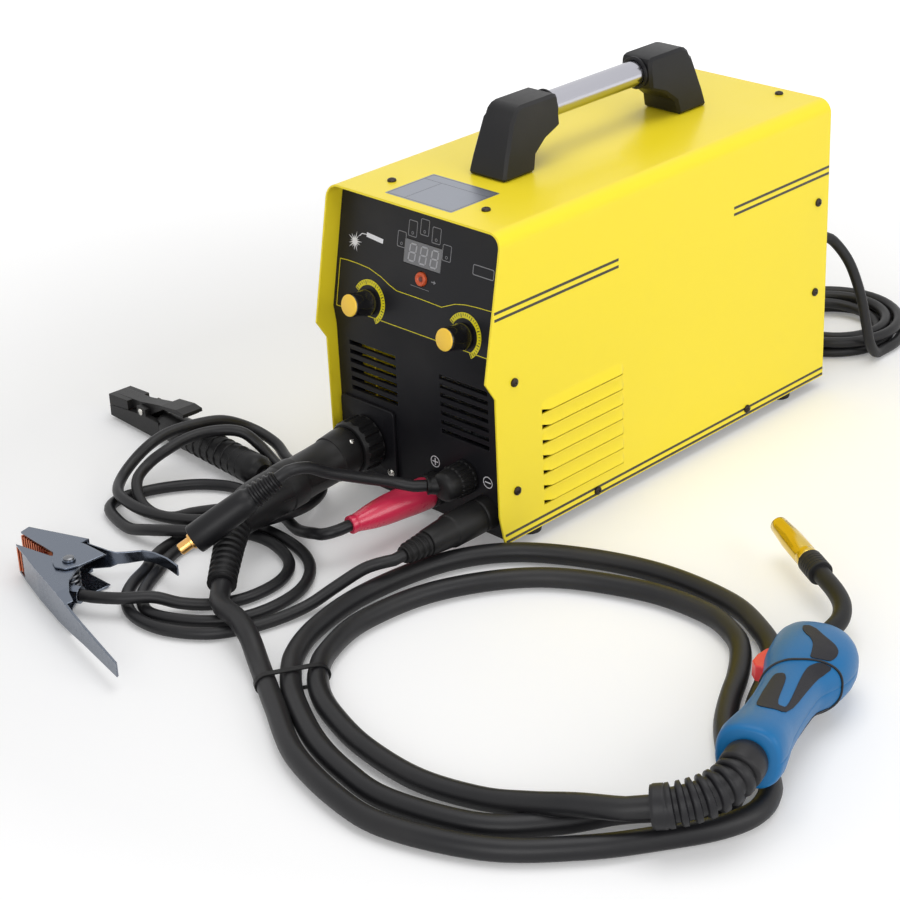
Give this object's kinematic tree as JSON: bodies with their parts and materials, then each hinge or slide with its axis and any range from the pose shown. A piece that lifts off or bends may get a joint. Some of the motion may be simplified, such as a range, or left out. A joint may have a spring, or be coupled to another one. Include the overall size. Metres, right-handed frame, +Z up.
{
  "type": "mig welding machine",
  "caption": "Wire-feed welding machine: yellow sheet case with leaned black front panel, carrying handle, torch, electrode holder, ground clamp and coiled mains cord.",
  "frame": {"origin": "on the floor, in the middle of the footprint of case, torch, holder and clamp", "axes": "+X to the viewer's right when facing the front panel, +Y to the rear, +Z up"},
  "size_m": [0.7682, 0.8507, 0.301],
  "materials": {
    "yellow_paint": "smooth gloss powder coat",
    "black_plastic": "fine grain",
    "rubber": "matt",
    "zinc_steel": "zinc plated",
    "steel": "turned",
    "chrome": "polished",
    "brass": "plain",
    "window": "smoked clear",
    "orange_plastic": "gloss",
    "red_plastic": "satin",
    "red_sleeve": "satin",
    "blue_plastic": "satin",
    "aluminium": "extruded",
    "iron": "varnished",
    "board": "solder mask",
    "can": "sleeved",
    "motor": "satin",
    "pan_paint": "satin black"
  },
  "bodies": {
    "machine": {"cover": "yellow_paint", "rear_panel": "yellow_paint", "base_pan": "pan_paint", "front_panel": "black_plastic", "display_window": "window", "torch_socket": "black_plastic", "torch_connector": "black_plastic", "socket_plus": "black_plastic", "socket_minus": "black_plastic", "electrode_plug": "red_sleeve", "ground_plug": "rubber", "polarity_gland": "black_plastic", "polarity_plug": "black_plastic", "torch_handle": "blue_plastic", "torch_neck": "black_plastic", "gas_nozzle": "brass", "bend_protector": "rubber", "holder_body": "black_plastic", "clamp_lower": "zinc_steel", "handle_front_post": "black_plastic", "handle_rear_post": "black_plastic", "handle_tube": "chrome", "mains_gland": "black_plastic", "mains_plug": "black_plastic", "divider": "zinc_steel", "main_board": "board", "capacitor": "can", "heat_sink": "aluminium", "transformer": "iron", "fan_frame": "black_plastic", "spool_axle": "black_plastic", "feeder_plate": "zinc_steel", "feeder_motor": "motor", "door_hinge": "zinc_steel", "foot_front_left": "rubber", "foot_front_right": "rubber", "foot_rear_left": "rubber", "foot_rear_right": "rubber", "torch_cable": "rubber", "electrode_lead": "rubber", "ground_lead": "rubber", "polarity_lead": "rubber", "mains_cord": "rubber", "mains_coil": "rubber"},
    "knob_left": {"knob_left": "black_plastic"},
    "knob_right": {"knob_right": "black_plastic"},
    "mode_button": {"mode_button": "orange_plastic"},
    "collar_nut": {"collar_nut": "black_plastic"},
    "torch_trigger": {"torch_trigger": "red_plastic"},
    "holder_lever": {"holder_lever": "black_plastic"},
    "clamp_upper": {"clamp_upper": "zinc_steel"},
    "power_rocker": {"power_rocker": "black_plastic"},
    "fan_rotor": {"fan_rotor": "black_plastic"},
    "wire_spool": {"wire_spool": "black_plastic"},
    "drive_roll": {"drive_roll": "steel"},
    "pressure_arm": {"pressure_arm": "zinc_steel"},
    "pressure_roll": {"pressure_roll": "steel"},
    "side_door": {"side_door": "yellow_paint"},
    "door_latch": {"door_latch": "black_plastic"}
  },
  "joints": [
    {"name": "knob_left_turn", "type": "hinge", "parent": "machine", "child": "knob_left", "pos_m": [-0.1048, -0.04751, 0.1635], "axis": [0, -0.9816, 0.1908], "range_deg": [-150, 150]},
    {"name": "knob_right_turn", "type": "hinge", "parent": "machine", "child": "knob_right", "pos_m": [-0.0058, -0.04751, 0.1635], "axis": [0, -0.9816, 0.1908], "range_deg": [-150, 150]},
    {"name": "mode_button_press", "type": "slide", "parent": "machine", "child": "mode_button", "axis": [0, 0.9816, -0.1908], "range_m": [0, 0.0012], "stiffness_N_per_m": 900},
    {"name": "collar_nut_turn", "type": "hinge", "parent": "machine", "child": "collar_nut", "pos_m": [-0.1113, -0.06255, 0.049], "axis": [0, -1, 0], "range_deg": [0, 360]},
    {"name": "torch_trigger_press", "type": "hinge", "parent": "machine", "child": "torch_trigger", "pos_m": [0.29526, -0.06898, 0.02697], "axis": [-0.0394, 0.0991, 0.9943], "range_deg": [0, 6], "stiffness_Nm_per_rad": 2},
    {"name": "holder_lever_squeeze", "type": "hinge", "parent": "machine", "child": "holder_lever", "pos_m": [-0.33542, -0.0876, 0.0215], "axis": [0.0698, 0.9976, 0], "range_deg": [0, 7], "stiffness_Nm_per_rad": 6},
    {"name": "clamp_upper_open", "type": "hinge", "parent": "machine", "child": "clamp_upper", "pos_m": [-0.1663, -0.29725, 0.0145], "axis": [0, 0, -1], "range_deg": [0, 15], "stiffness_Nm_per_rad": 6},
    {"name": "power_rocker_tilt", "type": "hinge", "parent": "machine", "child": "power_rocker", "pos_m": [-0.0203, 0.33125, 0.205], "axis": [1, 0, 0], "range_deg": [-10, 10]},
    {"name": "fan_spin", "type": "hinge", "parent": "machine", "child": "fan_rotor", "pos_m": [-0.0133, 0.31895, 0.058], "axis": [0, 1, 0], "continuous": true},
    {"name": "wire_spool_spin", "type": "hinge", "parent": "machine", "child": "wire_spool", "pos_m": [-0.1013, 0.20575, 0.13], "axis": [1, 0, 0], "continuous": true},
    {"name": "drive_roll_spin", "type": "hinge", "parent": "machine", "child": "drive_roll", "pos_m": [-0.1113, 0.02875, 0.0335], "axis": [1, 0, 0], "continuous": true},
    {"name": "pressure_arm_open", "type": "hinge", "parent": "machine", "child": "pressure_arm", "pos_m": [-0.0973, 0.05375, 0.08], "axis": [-1, 0, 0], "range_deg": [0, 60]},
    {"name": "pressure_roll_spin", "type": "hinge", "parent": "pressure_arm", "child": "pressure_roll", "pos_m": [-0.1113, 0.02875, 0.0615], "axis": [1, 0, 0], "continuous": true},
    {"name": "side_door_open", "type": "hinge", "parent": "machine", "child": "side_door", "pos_m": [-0.1473, 0.30025, 0.13], "axis": [0, 0, -1], "range_deg": [0, 100]},
    {"name": "door_latch_turn", "type": "hinge", "parent": "side_door", "child": "door_latch", "pos_m": [-0.1443, 0.00175, 0.13], "axis": [1, 0, 0], "range_deg": [0, 90]}
  ],
  "couplings": [
    {"joint": "pressure_roll_spin", "follows": "drive_roll_spin", "ratio": -1.25}
  ]
}
